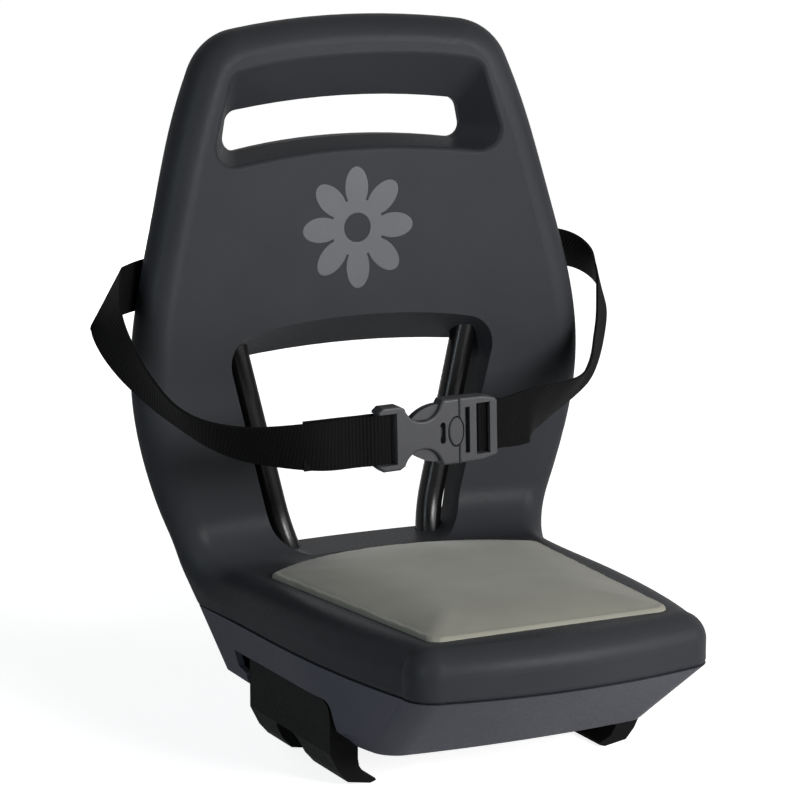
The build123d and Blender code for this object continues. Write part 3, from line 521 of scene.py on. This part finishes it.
def at_buckle(x, depth, up=0.0):
    """Strap station at the buckle: along it, in front of it and above its middle."""
    along = Vector((math.cos(BUCKLE_TILT), 0, math.sin(BUCKLE_TILT)))
    above = Vector((-math.sin(BUCKLE_TILT), 0, math.cos(BUCKLE_TILT)))
    return (Vector(BUCKLE) + along * x + Vector((0, -depth, 0)) + above * up, above)


def round_bar(nose, mid, radius, way):
    """Stations of webbing turned round a buckle bar, from its front to its rear."""
    turn = []
    for k in range(BAR_STEPS + 1):
        angle = math.pi * k / BAR_STEPS
        turn.append(at_buckle(nose + way * radius * math.sin(angle), mid + radius * math.cos(angle)))
    return turn


def lay_strap(name, stations, look):
    """Flat webbing laid along its stations, with its length and width as its UV map in metres."""
    rows = len(stations) - 1
    bpy.ops.object.select_all(action="DESELECT")
    bpy.ops.mesh.primitive_grid_add(x_subdivisions=rows, y_subdivisions=STRAP_COLUMNS, size=1, calc_uvs=True)
    strap = bpy.context.object
    strap.name = name
    strap.data.name = name
    run = [0.0]
    for here, there in zip(stations, stations[1:]):
        run.append(run[-1] + (there[0] - here[0]).length * MM)
    places = {}
    for v in strap.data.vertices:
        row = round((v.co.x + 0.5) * rows)
        share = v.co.y
        middle, across, *slant = stations[row]
        before = stations[max(row - 1, 0)][0]
        after = stations[min(row + 1, rows)][0]
        travel = (after - before).normalized()
        if slant:
            reach = across.normalized() * share * slant[0] * MM
        else:
            reach = (across - travel * across.dot(travel)).normalized() * share * look.width
        places[v.index] = (run[row] + reach.dot(travel), (share + 0.5) * look.width)
        v.co = middle * MM + reach
    for loop, uv in zip(strap.data.loops, strap.data.uv_layers.active.data):
        uv.uv = places[loop.vertex_index]
    apply_modifier(strap, "SUBSURF", levels=STRAP_LEVELS, render_levels=STRAP_LEVELS,
                   boundary_smooth="PRESERVE_CORNERS")
    apply_modifier(strap, "SOLIDIFY", thickness=look.thick, offset=0.0)
    bpy.ops.object.mode_set(mode="EDIT")
    bpy.ops.mesh.select_all(action="SELECT")
    bpy.ops.mesh.normals_make_consistent(inside=False)
    bpy.ops.object.mode_set(mode="OBJECT")
    bpy.ops.object.shade_smooth_by_angle(angle=SOFT_EDGE)
    return strap, run[-1]


class BIKESEAT_OT_belt(bpy.types.Operator):
    """Lay the two straps of the hip belt from the back to the buckle"""

    bl_idname = "bike_seat.belt"
    bl_label = "Hip Belt"

    def execute(self, context):
        look = context.scene.belt_look
        material = belt_webbing(look.colour, look.rib)
        for name, node, side, free, run_in, bar, tail in STRAPS:
            route = [on_anchor(side, x) for x in ANCHOR_RUN]
            route += [(Vector(at), Vector(across), *slant) for at, across, *slant in free]
            route += [at_buckle(*spot) for spot in run_in]
            route += round_bar(*bar)
            route += [at_buckle(*spot) for spot in tail]
            strap, length = lay_strap(name, route, look)
            wear(strap, material)
            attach(strap, "seat")
            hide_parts(node)
        return {"FINISHED"}


class BIKESEAT_OT_buckle(bpy.types.Operator):
    """Finish the two buckle halves and the lock button"""

    bl_idname = "bike_seat.buckle"
    bl_label = "Buckle"

    def execute(self, context):
        look = context.scene.plastic_look
        acetal = moulded_plastic("Acetal buckle, satin", look.buckle, look.grain,
                                 roughness=0.36, specular=0.3, depth=0.06)
        for node in ("buckle_receiver", "buckle_clip", "buckle_button"):
            wear(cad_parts[node], acetal)
        return {"FINISHED"}


class BIKESEAT_OT_claws(bpy.types.Operator):
    """Finish the carrier claws, strap anchors and tube plugs"""

    bl_idname = "bike_seat.claws"
    bl_label = "Claws"

    def execute(self, context):
        look = context.scene.plastic_look
        nylon = moulded_plastic("Nylon, glass filled, matt", look.claw, look.grain,
                                roughness=0.55, specular=0.08, depth=0.3)
        for node in ("jaw_left", "jaw_right", "anchor_plate_left", "anchor_plate_right", "frame_plugs"):
            wear(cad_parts[node], nylon)
        return {"FINISHED"}


class BIKESEAT_OT_steel(bpy.types.Operator):
    """Finish the painted frame and the plated hardware"""

    bl_idname = "bike_seat.steel"
    bl_label = "Steel"

    def execute(self, context):
        look = context.scene.steel_look
        wear(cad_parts["back_frame"], powder_coat(look.paint))
        zinc = zinc_plate(look.zinc)
        for node in ("frame_saddle_front", "frame_saddle_rear", "saddle_screws", "base_screws",
                     "anchor_screws", "jaw_bolts_left", "jaw_bolts_right", "jaw_washers_left",
                     "jaw_washers_right", "jaw_nuts_left", "jaw_nuts_right"):
            wear(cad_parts[node], zinc)
        return {"FINISHED"}


# Studio, in metres: the floor lies just under the part, and its white fades in away from the middle
FLOOR_SIZE = 14.0
FLOOR_GAP = 0.2 * MM
PAPER_FADE = (0.35, 1.1)
# Share of the white that reflections see in the floor and in the world
FLOOR_SHARE = 0.2
WORLD_SHARE = 0.5
AIM = (0, 0, 0.18)
# The camera's place and way were solved from the photograph
CAMERA_PLACE = (-0.9752, -1.8541, 0.6214)
CAMERA_WAY = (0.4441, 0.8724, -0.2043)
SENSOR_MM = 36.0
LENS_MM = 162.0


def lamp(name, place, target, width, height, power, tint=(1, 1, 1), glossy=True):
    """Soft oblong lamp that looks at a point; without glossy it is a fill that leaves no highlight."""
    bpy.ops.object.light_add(type="AREA", location=place)
    light = bpy.context.object
    light.name = name
    light.data.shape = "RECTANGLE"
    light.data.size = width
    light.data.size_y = height
    light.data.energy = power
    light.data.color = tint
    light.visible_glossy = glossy
    light.rotation_euler = (Vector(target) - Vector(place)).to_track_quat("-Z", "Y").to_euler()


class BIKESEAT_OT_studio(bpy.types.Operator):
    """Set the pale floor, the soft lamps and the camera"""

    bl_idname = "bike_seat.studio"
    bl_label = "Studio"

    def execute(self, context):
        look = context.scene.studio_look
        scene = context.scene
        scene.view_settings.view_transform = "Standard"
        bpy.ops.object.select_all(action="DESELECT")
        bpy.ops.mesh.primitive_plane_add(size=FLOOR_SIZE, location=(0, 0, CAD_BOX[0].z - FLOOR_GAP))
        floor = context.object
        floor.name = "floor"
        bpy.ops.object.transform_apply(location=True)
        material, tree, shader, where = start_material("Seamless paper, pale")
        away = add_node(tree, "ShaderNodeVectorMath", {0: (where, "Object")}, operation="LENGTH")
        white = add_node(tree, "ShaderNodeMapRange", {"Value": (away, "Value"), "From Min": PAPER_FADE[0],
                                                      "From Max": PAPER_FADE[1], "To Min": look.glow,
                                                      "To Max": 1.0})
        glow = add_node(tree, "ShaderNodeMath", {0: (seen(tree, FLOOR_SHARE), "Value"), 1: (white, "Result")},
                        operation="MULTIPLY")
        shader.inputs["Base Color"].default_value = (*look.floor, 1)
        shader.inputs["Roughness"].default_value = 0.9
        shader.inputs["Specular IOR Level"].default_value = 0.0
        shader.inputs["Emission Color"].default_value = (1, 1, 1, 1)
        tree.links.new(glow.outputs["Value"], shader.inputs["Emission Strength"])
        wear(floor, material)
        world = bpy.data.worlds.new("studio")
        scene.world = world
        world.use_nodes = True
        tree = world.node_tree
        sky = tree.nodes["Background"]
        level = add_node(tree, "ShaderNodeMapRange", {"Value": (seen(tree, WORLD_SHARE), "Value"),
                                                      "To Min": look.ambient, "To Max": 1.0})
        sky.inputs["Color"].default_value = (1, 1, 1, 1)
        tree.links.new(level.outputs["Result"], sky.inputs["Strength"])
        lamp("key", (0.5, -1.3, 0.56), AIM, 0.5, 0.5, look.key)
        lamp("side", (1.0, -0.9, 0.5), AIM, 0.6, 0.6, look.side)
        lamp("strip", (-1.9, -0.9, 0.8), AIM, 0.12, 1.5, look.strip, look.cool)
        lamp("rear", (0.0, 2.2, 0.2), AIM, 0.8, 0.3, look.rear, glossy=False)
        bpy.ops.object.camera_add(location=CAMERA_PLACE)
        camera = context.object
        camera.name = "camera"
        camera.rotation_euler = Vector(CAMERA_WAY).to_track_quat("-Z", "Y").to_euler()
        camera.data.sensor_width = SENSOR_MM
        camera.data.lens = LENS_MM
        scene.camera = camera
        return {"FINISHED"}


class BIKESEAT_PT_panel(bpy.types.Panel):
    """Sidebar panel that lists the pieces and their looks"""

    bl_idname = "BIKESEAT_PT_panel"
    bl_label = "Child Bike Seat"
    bl_space_type = "VIEW_3D"
    bl_region_type = "UI"
    bl_category = "Bike Seat"

    def draw(self, context):
        for maker in MAKERS:
            self.layout.operator(maker.bl_idname)
        for name in LOOKS:
            box = self.layout.box()
            look = getattr(context.scene, name)
            for key in look.__annotations__:
                box.prop(look, key)


LOOKS = {"plastic_look": PlasticLook, "pad_look": PadLook, "belt_look": BeltLook, "steel_look": SteelLook,
         "studio_look": StudioLook}
MAKERS = (BIKESEAT_OT_shell, BIKESEAT_OT_inlay, BIKESEAT_OT_tray, BIKESEAT_OT_pad, BIKESEAT_OT_belt,
          BIKESEAT_OT_buckle, BIKESEAT_OT_claws, BIKESEAT_OT_steel, BIKESEAT_OT_studio)


def register():
    """Register the classes and hang the looks on the scene."""
    for cls in (*LOOKS.values(), *MAKERS, BIKESEAT_PT_panel):
        bpy.utils.register_class(cls)
    for name, cls in LOOKS.items():
        setattr(bpy.types.Scene, name, PointerProperty(type=cls))


def unregister():
    """Take the looks off the scene and unregister the classes."""
    for name in LOOKS:
        delattr(bpy.types.Scene, name)
    for cls in (BIKESEAT_PT_panel, *reversed(MAKERS), *reversed(LOOKS.values())):
        bpy.utils.unregister_class(cls)


def main():
    """Build every piece in order."""
    register()
    bpy.ops.bike_seat.shell()
    bpy.ops.bike_seat.inlay()
    bpy.ops.bike_seat.tray()
    bpy.ops.bike_seat.pad()
    bpy.ops.bike_seat.belt()
    bpy.ops.bike_seat.buckle()
    bpy.ops.bike_seat.claws()
    bpy.ops.bike_seat.steel()
    bpy.ops.bike_seat.studio()


if __name__ == "__main__":
    main()
